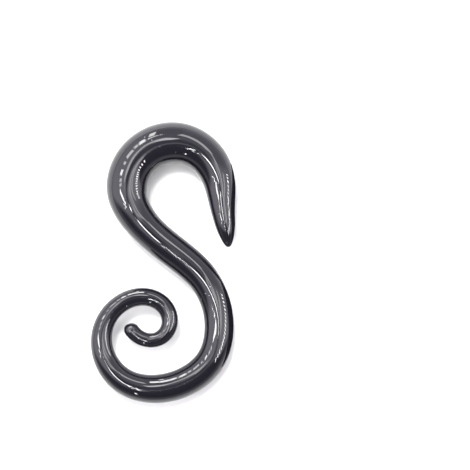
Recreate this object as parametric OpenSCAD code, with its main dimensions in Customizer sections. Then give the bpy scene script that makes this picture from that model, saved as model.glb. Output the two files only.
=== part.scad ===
// Ear hanger taper: one polished acrylic rod, bent into a crown, a stem, a loop and a curl.
// It lies on a flat surface as it would by itself. +X is to the right, +Y is towards the top of the
// crown and +Z is up. The origin is at the middle of its footprint, on the surface.

/* [Thickness] */
// Diameter of the rod at the top of the crown, which is the gauge that the ear takes
gauge_d = 8.25; // [6:0.25:9]
// Length over which the point is rounded
point_round = 5; // [3:0.1:5]
// Length over which the curl's end is rounded
end_round = 1.5; // [1:0.1:2]

/* [Bends] */
// Direction of the rod at its point, in degrees from +X
point_heading = 97.5; // [90:0.5:110]
// How much lower the middle of the rod runs where it is thicker, as a share of its radius: 0 keeps the
// middle line level, and 1 keeps the upper side level
sink = 0.6; // [0:0.05:1]

/* [Mesh] */
// Flats round the rod
sides = 28; // [12:4:36]
// Most that the rod turns from one ring of points to the next, in degrees
ring_turn = 7.5; // [5:0.5:15]
// Longest step from one ring of points to the next
ring_step = 1.4; // [1:0.1:3]

/* [Hidden] */

// Bend charts, a row for each stretch from the point to the curl's end. Turns to the left are positive.
// The share is the diameter at the end of the stretch, in hundredths of the gauge.
// Columns: length in mm, turn in degrees, share
LENGTH = 0;
TURN = 1;
SHARE = 2;
tip_share = 35;
point = [
    [5.0,   2.0,  50],
    [6.2,  -2.5,  71]
];
crown = [
    [4.8,  22.5,  84],
    [4.8,  30.0,  91],
    [4.8,  32.5,  98],
    [4.8,  30.0, 100],
    [4.8,  30.5, 100],
    [4.8,  32.0,  97]
];
stem = [
    [2.4,  17.5,  90],
    [3.1,  13.5,  83],
    [3.1,   9.0,  79],
    [6.2,   8.0,  77],
    [6.2,  -8.5,  74],
    [3.1, -12.5,  72]
];
loop = [
    [6.2, -23.0,  70],
    [6.2, -23.5,  70],
    [6.2, -35.0,  70],
    [6.2, -26.0,  69],
    [6.2, -27.0,  65],
    [6.2, -38.0,  58],
    [6.2, -37.0,  51],
    [6.2, -41.5,  45],
    [6.2, -44.5,  43]
];
curl = [
    [2.8, -26.0,  42],
    [6.0, -73.5,  39],
    [6.2, -95.0,  34],
    [5.2, -64.0,  37]
];
chart = concat(point, crown, stem, loop, curl);

// Distances along the rod of the three places that touch the surface: two on the crown, one on the loop
rests_at = [27, 38, 81];

// Rings of points that round the point and the curl's end
point_rings = 8;
end_rings = 6;

// The first k rows of a column, added up
function sum_rows(column, k) = k == 0 ? 0 : chart[k - 1][column] + sum_rows(column, k - 1);

rows = len(chart);
knot_at = [for (k = [0 : rows]) sum_rows(LENGTH, k)];
knot_heading = [for (k = [0 : rows]) point_heading + sum_rows(TURN, k)];
knot_d = [for (k = [0 : rows]) gauge_d / 100 * (k == 0 ? tip_share : chart[k - 1][SHARE])];
rod_len = knot_at[rows];

// Smooth curve through the knots: each knot's slope is the mean of its two stretches' slopes,
// weighted towards the shorter one
function rate(knots, k) = (knots[k + 1] - knots[k]) / chart[k][LENGTH];
function slope(knots, k) =
    k == 0 ? rate(knots, 0)
    : k == rows ? rate(knots, rows - 1)
    : (rate(knots, k - 1) * chart[k][LENGTH] + rate(knots, k) * chart[k - 1][LENGTH])
        / (chart[k - 1][LENGTH] + chart[k][LENGTH]);
function stretch_of(s, k = 0) = k >= rows - 1 || s < knot_at[k + 1] ? k : stretch_of(s, k + 1);
function eased(knots, s) =
    let (k = stretch_of(s), len_k = chart[k][LENGTH], u = (s - knot_at[k]) / len_k)
    (1 + 2 * u) * pow(1 - u, 2) * knots[k]
    + u * pow(1 - u, 2) * len_k * slope(knots, k)
    + pow(u, 2) * (3 - 2 * u) * knots[k + 1]
    - pow(u, 2) * (1 - u) * len_k * slope(knots, k + 1);

// Share of the full thickness at a part u of the way into a rounded end
function rounded(u) = u >= 1 ? 1 : sqrt(1 - pow(1 - u, 2));
function radius_at(s) =
    eased(knot_d, s) / 2 * rounded(s / point_round) * rounded((rod_len - s) / end_round);

// Distance along the rod of every ring, from the point to the curl's end
body_at = [
    for (k = [0 : rows - 1])
        let (steps = ceil(max(abs(chart[k][TURN]) / ring_turn, chart[k][LENGTH] / ring_step)))
            for (j = [0 : steps - 1]) knot_at[k] + chart[k][LENGTH] * j / steps
];
ring_at = concat(
    [for (j = [1 : point_rings]) point_round * (1 - cos(90 * j / point_rings))],
    [for (s = body_at) if (s > point_round + ring_step / 4 && s < rod_len - end_round - ring_step / 4) s],
    [for (j = [end_rings : -1 : 1]) rod_len - end_round * (1 - cos(90 * j / end_rings))]
);
rings = len(ring_at);

// The rod's route, walked from the point in steps along the mean direction of each
stations = concat([0], ring_at, [rod_len]);
function dir(heading) = [cos(heading), sin(heading), 0];
function walk(from, to) = (to - from) * dir(eased(knot_heading, (from + to) / 2));
route = [
    for (i = 0, p = [0, 0, 0];
        i < len(stations);
        i = i + 1, p = i < len(stations) ? p + walk(stations[i - 1], stations[i]) : p)
            p
];

// The rod's middle line, which is the route lowered where the rod is thicker
middle = [
    for (i = [0 : len(stations) - 1])
        route[i] - [0, 0, sink * eased(knot_d, stations[i]) / 2]
];

// The plane that the three resting places touch gives the slight lean at which the rod lies
function nearest(s, i = 0) =
    i >= rings || abs(stations[i + 1] - s) > abs(stations[i] - s) ? i : nearest(s, i + 1);
function underside(s) = let (i = nearest(s)) middle[i] - [0, 0, radius_at(stations[i])];
rest = [for (s = rests_at) underside(s)];
across = cross(rest[1] - rest[0], rest[2] - rest[0]);
up = across / norm(across) * sign(across[2]);
lean = acos(up[2]);
lean_axis = [up[1], -up[0], 0] / norm([up[1], -up[0], 0]);
function leaned(p) =
    p * cos(lean) + cross(lean_axis, p) * sin(lean) + lean_axis * (lean_axis * p) * (1 - cos(lean));

// Points of one ring, starting at its lowest, and the two end points
function ring(i) =
    let (s = stations[i], side = dir(eased(knot_heading, s) + 90))
    [for (j = [0 : sides - 1])
        let (turn = 360 * j / sides)
            leaned(middle[i] + radius_at(s) * (sin(turn) * side - [0, 0, cos(turn)]))];
ring_points = [for (i = [1 : rings]) each ring(i)];
raw_points = concat(ring_points, [leaned(middle[0]), leaned(middle[rings + 1])]);

// Stand the rod on the surface, with the middle of its footprint at the origin
function low(axis) = min([for (p = raw_points) p[axis]]);
function high(axis) = max([for (p = raw_points) p[axis]]);
seat = [(low(0) + high(0)) / 2, (low(1) + high(1)) / 2, low(2)];
points = [for (p = raw_points) p - seat];

tip_index = rings * sides;
end_index = tip_index + 1;
function at_ring(i, j) = i * sides + j % sides;
faces = concat(
    [for (j = [0 : sides - 1]) [tip_index, at_ring(0, j), at_ring(0, j + 1)]],
    [for (i = [0 : rings - 2], j = [0 : sides - 1])
        [at_ring(i, j), at_ring(i + 1, j), at_ring(i + 1, j + 1), at_ring(i, j + 1)]],
    [for (j = [0 : sides - 1]) [end_index, at_ring(rings - 1, j + 1), at_ring(rings - 1, j)]]
);

module taper_hanger() {
    color("#17171c") polyhedron(points = points, faces = faces, convexity = 6);
}

taper_hanger();
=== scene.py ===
"""Looks of the ear hanger taper: one polished black acrylic rod, bent into a crown, a stem, a loop and
a curl. It lies on a white table under a light hood that is open towards the bottom of the picture."""
import math

import bpy
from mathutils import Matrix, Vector


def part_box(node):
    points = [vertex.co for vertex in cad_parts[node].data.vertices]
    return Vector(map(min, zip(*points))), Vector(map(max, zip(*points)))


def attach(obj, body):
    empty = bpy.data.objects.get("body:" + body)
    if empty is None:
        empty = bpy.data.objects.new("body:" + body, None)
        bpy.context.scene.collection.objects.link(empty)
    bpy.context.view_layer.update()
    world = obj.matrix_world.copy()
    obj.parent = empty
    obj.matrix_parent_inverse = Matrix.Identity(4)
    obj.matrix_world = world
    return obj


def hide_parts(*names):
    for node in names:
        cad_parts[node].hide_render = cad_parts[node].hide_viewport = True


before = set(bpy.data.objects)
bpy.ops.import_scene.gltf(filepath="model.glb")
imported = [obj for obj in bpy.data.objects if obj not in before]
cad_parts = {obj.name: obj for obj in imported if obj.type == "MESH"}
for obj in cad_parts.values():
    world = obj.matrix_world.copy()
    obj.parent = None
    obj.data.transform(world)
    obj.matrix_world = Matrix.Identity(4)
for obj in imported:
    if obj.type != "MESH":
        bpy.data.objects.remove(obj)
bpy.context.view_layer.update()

MM = 0.001

# The rod's gauge, the lengths of its rounded ends and its direction at the point, in millimetres and
# degrees, and its diameter at the tip, in hundredths of the gauge
GAUGE_D = 8.25
POINT_ROUND = 5.0
END_ROUND = 1.5
POINT_HEADING = 97.5
TIP_SHARE = 35

# Bend chart, a row for each stretch from the point to the curl's end. Turns to the left are positive.
# The share is the diameter at the end of the stretch, in hundredths of the gauge.
# Columns: length in mm, turn in degrees, share
LENGTH, TURN, SHARE = range(3)
POINT = [
    (5.0, 2.0, 50),
    (6.2, -2.5, 71),
]
CROWN = [
    (4.8, 22.5, 84),
    (4.8, 30.0, 91),
    (4.8, 32.5, 98),
    (4.8, 30.0, 100),
    (4.8, 30.5, 100),
    (4.8, 32.0, 97),
]
STEM = [
    (2.4, 17.5, 90),
    (3.1, 13.5, 83),
    (3.1, 9.0, 79),
    (6.2, 8.0, 77),
    (6.2, -8.5, 74),
    (3.1, -12.5, 72),
]
LOOP = [
    (6.2, -23.0, 70),
    (6.2, -23.5, 70),
    (6.2, -35.0, 70),
    (6.2, -26.0, 69),
    (6.2, -27.0, 65),
    (6.2, -38.0, 58),
    (6.2, -37.0, 51),
    (6.2, -41.5, 45),
    (6.2, -44.5, 43),
]
CURL = [
    (2.8, -26.0, 42),
    (6.0, -73.5, 39),
    (6.2, -95.0, 34),
    (5.2, -64.0, 37),
]
CHART = POINT + CROWN + STEM + LOOP + CURL

# The rod's middle runs lower where it is thicker, by this share of the radius: with 1 the upper side would
# be level
SINK = 0.6

# Slight unevenness of the rod's height, as bending by hand leaves it. A negative rise is a dip.
# Columns: start and end along the rod, rise, all in mm
SWELLS = [
    (8.0, 13.0, 0.03),
    (40.0, 46.3, 0.045),
    (51.0, 65.0, -0.10),
    (93.0, 99.5, 0.04),
]

# Distances along the rod of the three places that touch the table: two on the crown, one on the loop
RESTS_AT = (27.0, 38.0, 81.0)

# The rod's cage, which the levels of smoothing round off: its flats, the most that it turns from one ring
# to the next, in degrees, the longest step between rings, in mm, and the rings of its rounded ends
SIDES = 16
SMOOTHING = 2
RING_TURN = 7.5
RING_STEP = 0.8
POINT_RINGS = 8
END_RINGS = 6


def running_totals(column, start=0.0):
    """The column's value at the start of the rod and at the end of each stretch."""
    totals = [start]
    for row in CHART:
        totals.append(totals[-1] + row[column])
    return totals


KNOT_AT = running_totals(LENGTH)
KNOT_HEADING = running_totals(TURN, POINT_HEADING)
KNOT_D = [GAUGE_D * share / 100 for share in [TIP_SHARE] + [row[SHARE] for row in CHART]]
ROD_LEN = KNOT_AT[-1]


def slope(knots, k):
    """Slope of the smooth curve at a knot, weighted towards the shorter of its two stretches."""
    rates = [(knots[i + 1] - knots[i]) / CHART[i][LENGTH] for i in range(len(CHART))]
    if k == 0:
        return rates[0]
    if k == len(CHART):
        return rates[-1]
    before, after = CHART[k - 1][LENGTH], CHART[k][LENGTH]
    return (rates[k - 1] * after + rates[k] * before) / (before + after)


def eased(knots, s):
    """Value at the distance s of the smooth curve through the knots."""
    k = 0
    while k < len(CHART) - 1 and s >= KNOT_AT[k + 1]:
        k += 1
    length = CHART[k][LENGTH]
    u = (s - KNOT_AT[k]) / length
    return (
        (1 + 2 * u) * (1 - u) ** 2 * knots[k]
        + u * (1 - u) ** 2 * length * slope(knots, k)
        + u**2 * (3 - 2 * u) * knots[k + 1]
        - u**2 * (1 - u) * length * slope(knots, k + 1)
    )


def rounded(u):
    """Share of the full thickness at a part u of the way into a rounded end."""
    return 1.0 if u >= 1 else math.sqrt(1 - (1 - u) ** 2)


def radius_at(s):
    """The rod's radius at the distance s from its point."""
    return eased(KNOT_D, s) / 2 * rounded(s / POINT_ROUND) * rounded((ROD_LEN - s) / END_ROUND)


def heading_at(s):
    """The rod's direction at the distance s, in radians from +X."""
    return math.radians(eased(KNOT_HEADING, s))


def height_at(s):
    """Height of the rod's middle at the distance s, before it is laid on the table."""
    height = -SINK * eased(KNOT_D, s) / 2
    for start, end, rise in SWELLS:
        if start < s < end:
            height += rise / 2 * (1 - math.cos(2 * math.pi * (s - start) / (end - start)))
    return height


def ring_distances():
    """Distance along the rod of every ring of the cage, closer in bends and at the rounded ends."""

    def into_end(j, rings):
        """How far into a rounded end its ring j lies, as a share of the end's length."""
        return 1 - math.cos(math.radians(90 * j / rings))

    point = [POINT_ROUND * into_end(j, POINT_RINGS) for j in range(1, POINT_RINGS + 1)]
    end = [ROD_LEN - END_ROUND * into_end(j, END_RINGS) for j in range(END_RINGS, 0, -1)]
    body = []
    for k, row in enumerate(CHART):
        steps = math.ceil(max(abs(row[TURN]) / RING_TURN, row[LENGTH] / RING_STEP))
        body += [KNOT_AT[k] + row[LENGTH] * j / steps for j in range(steps)]
    clear = RING_STEP / 4
    body = [s for s in body if POINT_ROUND + clear < s < ROD_LEN - END_ROUND - clear]
    return point + body + end


RING_AT = ring_distances()


def middle_line():
    """The rod's middle at each ring, walked from the point, with the rod flat on its side."""
    line = []
    here = Vector((0, 0, 0))
    s_here = 0.0
    for s in RING_AT:
        heading = heading_at((s_here + s) / 2)
        here = here + (s - s_here) * Vector((math.cos(heading), math.sin(heading), 0))
        s_here = s
        line.append(here + Vector((0, 0, height_at(s))))
    return line


MIDDLE = middle_line()


def lean():
    """The turn that lays the rod on its three resting places."""

    def underside(s):
        i = min(range(len(RING_AT)), key=lambda ring: abs(RING_AT[ring] - s))
        return MIDDLE[i] - Vector((0, 0, radius_at(RING_AT[i])))

    first, second, third = [underside(s) for s in RESTS_AT]
    up = (second - first).cross(third - first).normalized()
    if up.z < 0:
        up.negate()
    return up.rotation_difference(Vector((0, 0, 1)))


def draw_out_rod():
    """Draws the rod out of one circle, ring by ring along its middle line."""
    # Smoothing pulls a ring of flats in to this share of its size, so the cage is that much larger
    fullness = (2 + math.cos(2 * math.pi / SIDES)) / 3
    bpy.ops.object.select_all(action="DESELECT")
    bpy.ops.mesh.primitive_circle_add(
        vertices=SIDES,
        radius=radius_at(RING_AT[0]) * MM / fullness,
        fill_type="NGON",
        location=MIDDLE[0] * MM,
        rotation=(math.radians(90), 0, heading_at(RING_AT[0]) + math.radians(90)),
    )
    rod = bpy.context.object
    rod.name = "polished_rod"
    bpy.ops.object.transform_apply(location=True, rotation=True, scale=True)
    bpy.ops.object.mode_set(mode="EDIT")
    bpy.ops.mesh.select_all(action="SELECT")
    for i in range(1, len(RING_AT)):
        before, s = RING_AT[i - 1], RING_AT[i]
        centre = MIDDLE[i] * MM
        step = (MIDDLE[i] - MIDDLE[i - 1]) * MM
        bpy.ops.mesh.extrude_region_move(TRANSFORM_OT_translate={"value": step})
        turn = heading_at(s) - heading_at(before)
        bpy.ops.transform.rotate(value=-turn, orient_axis="Z", center_override=centre)
        swell = radius_at(s) / radius_at(before)
        bpy.ops.transform.resize(value=(swell, swell, swell), center_override=centre)
    bpy.ops.mesh.select_all(action="SELECT")
    bpy.ops.mesh.normals_make_consistent(inside=False)
    bpy.ops.object.mode_set(mode="OBJECT")
    return rod


def smooth_rod(rod):
    """Rounds the cage off."""
    smooth = rod.modifiers.new("smooth", "SUBSURF")
    smooth.levels = SMOOTHING
    smooth.render_levels = SMOOTHING
    bpy.ops.object.modifier_apply(modifier=smooth.name)
    bpy.ops.object.shade_smooth()


def lay_rod_down(rod):
    """Leans the rod onto its resting places, and stands it on the table where the frame has it."""
    rod.rotation_mode = "QUATERNION"
    rod.rotation_quaternion = lean()
    bpy.ops.object.transform_apply(location=False, rotation=True, scale=False)
    corners = [Vector(corner) for corner in rod.bound_box]
    low = Vector([min(c[axis] for c in corners) for axis in range(3)])
    high = Vector([max(c[axis] for c in corners) for axis in range(3)])
    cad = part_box("taper_hanger")
    rod.location = (cad[0] + cad[1]) / 2 - (low + high) / 2
    rod.location.z = cad[0].z - low.z
    bpy.ops.object.transform_apply(location=True, rotation=False, scale=False)


def add_node(tree, kind, inputs, **settings):
    """Adds a node with its settings, and gives each of its inputs a value or another node's output."""
    node = tree.nodes.new(kind)
    for name, choice in settings.items():
        setattr(node, name, choice)
    for name, value in inputs.items():
        if isinstance(value, bpy.types.NodeSocket):
            tree.links.new(value, node.inputs[name])
        else:
            node.inputs[name].default_value = value
    return node


def combined(tree, operation, first, second):
    """Two numbers put together by one of the Math node's operations."""
    return add_node(tree, "ShaderNodeMath", {0: first, 1: second}, operation=operation).outputs["Value"]


def mixed(tree, share, first, second, kind="FLOAT"):
    """A number or colour between two others."""
    inputs = {"Factor": share, "A": first, "B": second}
    return add_node(tree, "ShaderNodeMix", inputs, data_type=kind).outputs["Result"]


def ranged(tree, value, span, result=(0, 1), shape="LINEAR"):
    """The value's part within a span, carried over to the result's span."""
    inputs = {
        "Value": value,
        "From Min": span[0],
        "From Max": span[1],
        "To Min": result[0],
        "To Max": result[1],
    }
    return add_node(tree, "ShaderNodeMapRange", inputs, interpolation_type=shape).outputs["Result"]


def noise(tree, where, size, detail):
    """Noise whose blotches are about the given size in millimetres."""
    inputs = {"Vector": where, "Scale": 1 / (size * MM), "Detail": detail}
    return add_node(tree, "ShaderNodeTexNoise", inputs).outputs["Fac"]


def principled(name):
    """A new material with its node tree and its Principled shader."""
    material = bpy.data.materials.new(name)
    material.use_nodes = True
    tree = material.node_tree
    return material, tree, tree.nodes["Principled BSDF"]


# The acrylic's dye and its polish, with the patches where the polish is duller. Sizes are in mm, and a
# span is the part of the noise from which a patch starts to where it is full.
ACRYLIC_IOR = 1.49
DYE = (0.0030, 0.0028, 0.0042, 1)
POLISH = 0.035
DULL = 0.12
DULL_SIZE = 6.0
DULL_SPAN = (0.45, 0.75)

# Specks of dust and pinholes: their spacing, their radius and that of their full core, both as shares of
# the spacing, and the patches that have any
DUST = (0.10, 0.10, 0.11, 1)
SPECK_SPACING = 1.1
SPECK_R = 0.12
SPECK_CORE_R = 0.072
SPECKLED_SIZE = 5.0
SPECKLED_SPAN = (0.56, 0.62)

# Relief: its depth, the sizes of the orange peel and of the unevenness from polishing, and the share of
# the second
RELIEF = 0.012
PEEL_SIZE = 0.9
UNEVEN_SIZE = 4.5
UNEVEN_SHARE = 0.85


def black_acrylic():
    """Polished acrylic, dyed black through: faint orange peel, worn patches of polish and a few specks."""
    material, tree, shader = principled("black_acrylic")
    shader.inputs["IOR"].default_value = ACRYLIC_IOR
    where = tree.nodes.new("ShaderNodeTexCoord").outputs["Object"]

    # Polish: nearly clear, a little duller in patches
    patches = noise(tree, where, DULL_SIZE, detail=4)
    roughness = ranged(tree, patches, DULL_SPAN, (POLISH, DULL))
    tree.links.new(roughness, shader.inputs["Roughness"])

    # Specks of dust and pinholes, here and there
    spacing = {"Vector": where, "Scale": 1 / (SPECK_SPACING * MM)}
    cells = add_node(tree, "ShaderNodeTexVoronoi", spacing)
    speck = ranged(tree, cells.outputs["Distance"], (SPECK_CORE_R, SPECK_R), (1, 0))
    speckled = ranged(tree, noise(tree, where, SPECKLED_SIZE, detail=2), SPECKLED_SPAN)
    dusty = combined(tree, "MULTIPLY", speck, speckled)
    tree.links.new(mixed(tree, dusty, DYE, DUST, kind="RGBA"), shader.inputs["Base Color"])

    # Orange peel and slight unevenness from polishing by hand
    peel = noise(tree, where, PEEL_SIZE, detail=2)
    uneven = noise(tree, where, UNEVEN_SIZE, detail=1)
    height = mixed(tree, UNEVEN_SHARE, peel, uneven)
    relief = {"Strength": 1.0, "Distance": RELIEF * MM, "Height": height}
    bump = add_node(tree, "ShaderNodeBump", relief)
    tree.links.new(bump.outputs["Normal"], shader.inputs["Normal"])
    return material


# The photo's camera looks straight down: the size of a pixel on the table, the pixels along a side of the
# picture, the pixel of the hanger's own origin, and the camera's height and the width of its sensor
PIXEL = 0.1955 * MM
FRAME_PIXELS = 470
ORIGIN_PIXEL = (164.2, 262.3)
CAMERA_HEIGHT = 300 * MM
CAMERA_CLEAR = 10 * MM
SENSOR = 36.0


def photo_camera():
    """The camera straight above the table, at the photo's place and scale."""
    half = FRAME_PIXELS / 2
    place = ((half - ORIGIN_PIXEL[0]) * PIXEL, (ORIGIN_PIXEL[1] - half) * PIXEL, CAMERA_HEIGHT)
    bpy.ops.object.camera_add(location=place, rotation=(0, 0, 0))
    camera = bpy.context.object
    camera.name = "photo_camera"
    camera.data.sensor_width = SENSOR
    camera.data.lens = SENSOR * CAMERA_HEIGHT / (FRAME_PIXELS * PIXEL)
    camera.data.clip_start = CAMERA_CLEAR
    bpy.context.scene.camera = camera


TABLE_SIDE = 4000 * MM
TABLE_WHITE = 0.43
TABLE_ROUGHNESS = 0.6


def white_table():
    """A white sheet, which the hood lights evenly."""
    bpy.ops.mesh.primitive_plane_add(size=TABLE_SIDE, location=(0, 0, 0))
    table = bpy.context.object
    table.name = "white_table"
    material, tree, shader = principled("white_sheet")
    shader.inputs["Base Color"].default_value = (TABLE_WHITE, TABLE_WHITE, TABLE_WHITE, 1)
    shader.inputs["Roughness"].default_value = TABLE_ROUGHNESS
    table.data.materials.append(material)


# The hood over the table. Its glow goes by the direction round the hanger, in degrees from the top of
# the picture with those to its right positive. A glow of 1 would show as plain white.
# Columns: direction, glow
HOOD_GLOW = [
    (-180, 0.9),
    (-162, 1.4),
    (-142, 2.6),
    (-110, 3.2),
    (-80, 3.0),
    (-50, 2.5),
    (-28, 2.0),
    (-8, 1.3),
    (68, 1.4),
    (84, 3.0),
    (100, 3.5),
    (130, 3.3),
    (156, 1.4),
    (180, 0.9),
]
GLOW_TOP = 4.0
HOOD_TINT = (0.95, 0.93, 1.0, 1)

# What the camera sees beyond the table
SEEN_WHITE = (1, 1, 1, 1)

# The glow at the horizon, and the height of a direction, from 0 to 1, where the hood's own glow is full
HORIZON_GLOW = 2.1
HORIZON_SPAN = (0.0, 0.42)

# The dim hatch straight above, through which the camera looks: its middle, and how far a direction points
# towards it where the hatch begins and where it is full
HATCH_AT = (0.02, 0.10, 0.995)
HATCH_EDGE = (0.976, 0.987)
HATCH_GLOW = 0.45

# The dark room in front, its floor, and the heights between which the one passes into the other
ROOM_GLOW = 0.12
ROOM_FLOOR_GLOW = 1.0
ROOM_SPAN = (0.15, 0.45)

# The hood's front edge, as the directions that its glow reaches, and how soft it is. To the right: two
# straight edges, of which the nearer counts. To the left: a lower edge, and a side edge close to straight
# above.
RIGHT_EDGE = (0.42, 1.0, 0.15)
FAR_RIGHT_EDGE = (0.10, 1.0, 0.475)
RIGHT_SOFT = (-0.06, 0.06)
LEFT_EDGE = (-0.20, 1.0, 0.44)
LEFT_SIDE = (-1.0, 0.0, -0.06)
LEFT_SOFT = (-0.12, 0.12)


def hood_ring(tree, across, up):
    """The hood's glow by the direction round the hanger, from the direction's X and Y. The ramp holds it
    as shares of the top glow."""
    ring = tree.nodes.new("ShaderNodeValToRGB")
    stops = ring.color_ramp.elements
    for degrees, _ in HOOD_GLOW[2:]:
        stops.new((degrees + 180) / 360)
    for stop, (degrees, glow) in zip(stops, HOOD_GLOW):
        share = glow / GLOW_TOP
        stop.position = (degrees + 180) / 360
        stop.color = (share, share, share, 1)
    turn = combined(tree, "ARCTAN2", across, up)
    turn_share = combined(tree, "ADD", combined(tree, "DIVIDE", turn, 2 * math.pi), 0.5)
    tree.links.new(turn_share, ring.inputs["Fac"])
    return combined(tree, "MULTIPLY", ring.outputs["Color"], GLOW_TOP)


def hood_light():
    """The hood's glow and the dark room below its front edge, by direction as the acrylic reflects them.
    The camera itself sees plain white beyond the table."""
    world = bpy.data.worlds.new("light_hood")
    bpy.context.scene.world = world
    world.use_nodes = True
    tree = world.node_tree
    tree.nodes.clear()
    where = tree.nodes.new("ShaderNodeTexCoord").outputs["Generated"]
    split = add_node(tree, "ShaderNodeSeparateXYZ", {"Vector": where}).outputs

    def towards(direction):
        dot = add_node(tree, "ShaderNodeVectorMath", {0: where, 1: direction}, operation="DOT_PRODUCT")
        return dot.outputs["Value"]

    def step(value, span):
        return ranged(tree, value, span, shape="SMOOTHSTEP")

    glow = hood_ring(tree, split["X"], split["Y"])
    glow = mixed(tree, step(split["Z"], HORIZON_SPAN), HORIZON_GLOW, glow)
    glow = mixed(tree, step(towards(HATCH_AT), HATCH_EDGE), glow, HATCH_GLOW)
    room = mixed(tree, step(split["Z"], ROOM_SPAN), ROOM_FLOOR_GLOW, ROOM_GLOW)

    # The hood ends in front, where the room is dark
    right = combined(tree, "MINIMUM", towards(RIGHT_EDGE), towards(FAR_RIGHT_EDGE))
    left = combined(tree, "MINIMUM", towards(LEFT_EDGE), towards(LEFT_SIDE))
    inside = combined(tree, "MAXIMUM", step(right, RIGHT_SOFT), step(left, LEFT_SOFT))
    level = mixed(tree, inside, room, glow)

    hood = add_node(tree, "ShaderNodeBackground", {"Color": HOOD_TINT, "Strength": level})
    seen = add_node(tree, "ShaderNodeBackground", {"Color": SEEN_WHITE, "Strength": 1.0})
    by_camera = tree.nodes.new("ShaderNodeLightPath").outputs["Is Camera Ray"]
    choice = {0: by_camera, 1: hood.outputs["Background"], 2: seen.outputs["Background"]}
    surface = add_node(tree, "ShaderNodeMixShader", choice).outputs["Shader"]
    add_node(tree, "ShaderNodeOutputWorld", {"Surface": surface})


def glowing(name, strength):
    """A material that only glows. A strength of 1 would show as plain white."""
    material = bpy.data.materials.new(name)
    material.use_nodes = True
    tree = material.node_tree
    tree.nodes.clear()
    glow = add_node(tree, "ShaderNodeEmission", {"Strength": strength})
    add_node(tree, "ShaderNodeOutputMaterial", {"Surface": glow.outputs["Emission"]})
    return material


def on_dome(turn, down, away):
    """Place at a distance by the direction round the hanger and the angle down from straight above."""
    turn, down = math.radians(turn), math.radians(down)
    return away * Vector((math.sin(down) * math.sin(turn), math.sin(down) * math.cos(turn), math.cos(down)))


def facing(turn, down):
    """The rotation that turns a flat lamp's face to the hanger, by the direction and angle of its place."""
    return (-math.radians(down), 0, -math.radians(turn))


def out_of_sight(lamp):
    """Hides a lamp from the camera and takes its own shadow away. The acrylic still reflects it."""
    lamp.visible_camera = False
    lamp.visible_shadow = False


# The distance of the hood's lamps
DOME_R = 350 * MM

# Bright tubes on the hood. A path is a list of (direction round the hanger, angle down from straight
# above). Columns: name, width in degrees, strength, path
TUBES = [
    ("ring_top", 9, 12, [(16, 20), (2, 22), (-10, 26)]),
    ("ring_left", 8, 8.5, [(-6, 25), (-14, 27), (-28, 28), (-44, 25), (-62, 18), (-78, 13)]),
    ("ring_back", 2, 5, [(-78, 13), (-100, 10.5), (-125, 9.5)]),
    (
        "ring_front",
        3.5,
        8,
        [(52, 36), (60, 32), (67, 29.5), (75, 26.5), (86, 23), (97, 19.5), (110, 15), (129, 11)],
    ),
    ("ring_right", 11, 8.5, [(52, 36), (46, 38), (38, 41), (26, 44), (12, 46)]),
    ("right_seam", 3, 8, [(129, 16), (110, 22), (97, 29), (86, 37), (78, 43)]),
    ("ring_cross", 2.2, 6, [(113, 10.5), (89, 15), (78, 19), (69, 25), (62, 29)]),
    ("left_streak", 4.2, 30, [(-117, 23), (-106, 30), (-96, 37)]),
    ("point_streak", 1.0, 40, [(-124, 25), (-115, 33)]),
]
TUBE_FINENESS = 1


def tube_lamp(name, width, strength, path):
    """A glowing tube on the hood, bent along a path."""
    bend = bpy.data.curves.new(name, "CURVE")
    bend.dimensions = "3D"
    bend.bevel_depth = math.radians(width) / 2 * DOME_R
    bend.bevel_resolution = TUBE_FINENESS
    line = bend.splines.new("POLY")
    line.points.add(len(path) - 1)
    for point, (turn, down) in zip(line.points, path):
        point.co = (*on_dome(turn, down, DOME_R), 1)
    tube = bpy.data.objects.new(name, bend)
    bpy.context.collection.objects.link(tube)
    bend.materials.append(glowing(name, strength))
    out_of_sight(tube)


def along(path, count, length, width):
    """Cards at even steps along a path, all of one length and width."""
    spans = []
    for (turn, down), (next_turn, next_down) in zip(path, path[1:]):
        across = (next_turn - turn) * math.sin(math.radians((down + next_down) / 2))
        spans.append(math.hypot(across, next_down - down))
    total = sum(spans)
    cards = []
    for i in range(count):
        ahead = total * (i + 0.5) / count
        k = 0
        while k < len(spans) - 1 and ahead > spans[k]:
            ahead -= spans[k]
            k += 1
        share = ahead / spans[k]
        turn = path[k][0] + share * (path[k + 1][0] - path[k][0])
        down = path[k][1] + share * (path[k + 1][1] - path[k][1])
        cards.append((turn, down, length, width))
    return cards


# Flat lamps on the hood. Columns: direction round the hanger, angle down from straight above, length in
# that angle, width across it, all in degrees

# A row of narrow cards down the right side, along a path
RIGHT_DOTS_PATH = [
    (133, 35),
    (124, 37.5),
    (114, 42.5),
    (104, 49.5),
    (96, 55.5),
    (88, 61),
    (80, 66),
    (76, 69),
]
RIGHT_DOTS = along(RIGHT_DOTS_PATH, count=18, length=10, width=0.7)

# Low lamps from beyond the top of the picture round to the left, which the rod shows as dashes
BRIGHT_LAMPS = [
    (-31, 54, 15, 6.0),
    (-21, 57, 15, 5.6),
    (-71, 41, 12, 4.4),
    (-12.5, 57, 15, 8.0),
    (-2, 58, 14, 9.0),
]
LEFT_LAMPS = [
    (-39, 54, 13, 3.8),
    (-49, 50, 13, 8.0),
    (-60, 45, 12, 2.6),
    (-81, 36, 11, 2.6),
    (-88, 34, 11, 2.6),
]

# Narrow cards on the left, and at the hood's open front
POINT_LAMPS = [
    (-121, 34, 5, 0.8),
    (-119, 21.5, 5, 0.8),
]
FRONT_TICKS = [
    (-178, 14, 7, 0.6),
    (-175, 21, 8, 0.6),
    (-171, 17, 3, 0.6),
    (-165, 23, 2.5, 0.6),
    (-161, 18, 2.5, 0.6),
    (-167, 56, 6, 1.5),
]

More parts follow.
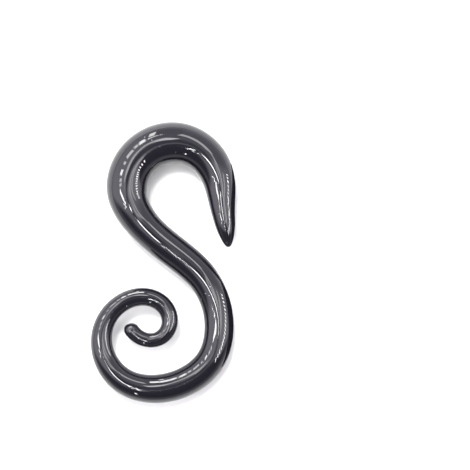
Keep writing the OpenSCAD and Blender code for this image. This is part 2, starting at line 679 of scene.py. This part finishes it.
# Two lamps high above the hood's open front. All of the rod sees each in nearly the same direction.
FAR_LAMP = [
    (-160, 11.6, 2.4, 2.6),
    (-167, 9.3, 2.4, 2.6),
]
FAR_R = 1500 * MM

# Columns: name, strength, distance, cards
CARD_LAMPS = [
    ("right_dots", 40, DOME_R, RIGHT_DOTS),
    ("bright_lamps", 22, DOME_R, BRIGHT_LAMPS),
    ("left_lamps", 13, DOME_R, LEFT_LAMPS),
    ("point_lamps", 40, DOME_R, POINT_LAMPS),
    ("front_ticks", 60, DOME_R, FRONT_TICKS),
    ("far_lamp", 40, FAR_R, FAR_LAMP),
]


def card_lamps(name, strength, away, cards):
    """Flat glowing cards that face the hanger, joined into one object."""
    pieces = []
    for turn, down, length, width in cards:
        place = on_dome(turn, down, away)
        bpy.ops.mesh.primitive_plane_add(size=1, location=place, rotation=facing(turn, down))
        card = bpy.context.object
        card.scale = (math.radians(width) * away, math.radians(length) * away, 1)
        pieces.append(card)
    bpy.ops.object.select_all(action="DESELECT")
    for card in pieces:
        card.select_set(True)
    bpy.context.view_layer.objects.active = pieces[0]
    bpy.ops.object.join()
    group = bpy.context.object
    group.name = name
    bpy.ops.object.transform_apply(location=True, rotation=True, scale=True)
    group.data.materials.append(glowing(name, strength))
    out_of_sight(group)


# Two panels close beyond the crown, by their middle and size in mm, and the angle down from straight above
# that they are square to. The flag is as bright as the hood behind it and hides the hood's lamps from the
# crown. A small bright one stands in front of it.
# Columns: name, middle, size, strength
PANEL_DOWN = 60
NEAR_PANELS = [
    ("flag", (-3, 52, 21), (26, 17), 1.1),
    ("near_lamp", (-12, 51.3, 20.6), (5, 10), 16),
]


def near_panel(name, at, size, strength):
    """A small glowing panel close beyond the crown. It doesn't light the table."""
    place = Vector(at) * MM
    bpy.ops.mesh.primitive_plane_add(size=1, location=place, rotation=facing(0, PANEL_DOWN))
    panel = bpy.context.object
    panel.name = name
    panel.scale = (size[0] * MM, size[1] * MM, 1)
    panel.data.materials.append(glowing(name, strength))
    panel.visible_diffuse = False
    out_of_sight(panel)


# Two black ovals, upright and close to the hanger on its right, with their middles level with the table.
# Columns: place of the middle, half the length, height above the table, all in mm
DARK_PANELS = [
    ((15.7, 9.0), 11.5, 6.4),
    ((15.4, -11.5), 12.0, 5.8),
]
DARK_GLOW = 0.03


def dark_panels():
    """The black ovals, which the rod's right edges reflect. They take no light from the table."""
    black = glowing("dark_panel", DARK_GLOW)
    upright = (0, math.radians(90), 0)
    for (x, y), half_length, height in DARK_PANELS:
        place = (x * MM, y * MM, 0)
        bpy.ops.mesh.primitive_circle_add(radius=1, fill_type="NGON", location=place, rotation=upright)
        panel = bpy.context.object
        panel.name = "dark_panel"
        panel.scale = (height * MM, half_length * MM, 1)
        panel.data.materials.append(black)
        panel.visible_diffuse = False
        out_of_sight(panel)


# The broad lamp beyond the top of the picture: its direction, angle down, distance and size in metres,
# and power in watts
NORTH_TURN = -16
NORTH_DOWN = 26
NORTH_AWAY = 0.5
NORTH_SIZE = 0.16
NORTH_POWER = 6.8


def north_light():
    """The lamp that gives the table its shadows. The acrylic doesn't reflect it."""
    place = on_dome(NORTH_TURN, NORTH_DOWN, NORTH_AWAY)
    slant = facing(NORTH_TURN, NORTH_DOWN)
    bpy.ops.object.light_add(type="AREA", location=place, rotation=slant)
    lamp = bpy.context.object
    lamp.name = "north_light"
    lamp.data.shape = "DISK"
    lamp.data.size = NORTH_SIZE
    lamp.data.energy = NORTH_POWER
    lamp.visible_glossy = False


bpy.context.scene.view_settings.view_transform = "Standard"
photo_camera()
white_table()
hood_light()
for tube in TUBES:
    tube_lamp(*tube)
for group in CARD_LAMPS:
    card_lamps(*group)
for panel in NEAR_PANELS:
    near_panel(*panel)
dark_panels()
north_light()

rod = draw_out_rod()
smooth_rod(rod)
lay_rod_down(rod)
rod.data.materials.append(black_acrylic())
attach(rod, "root")
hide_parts("taper_hanger")
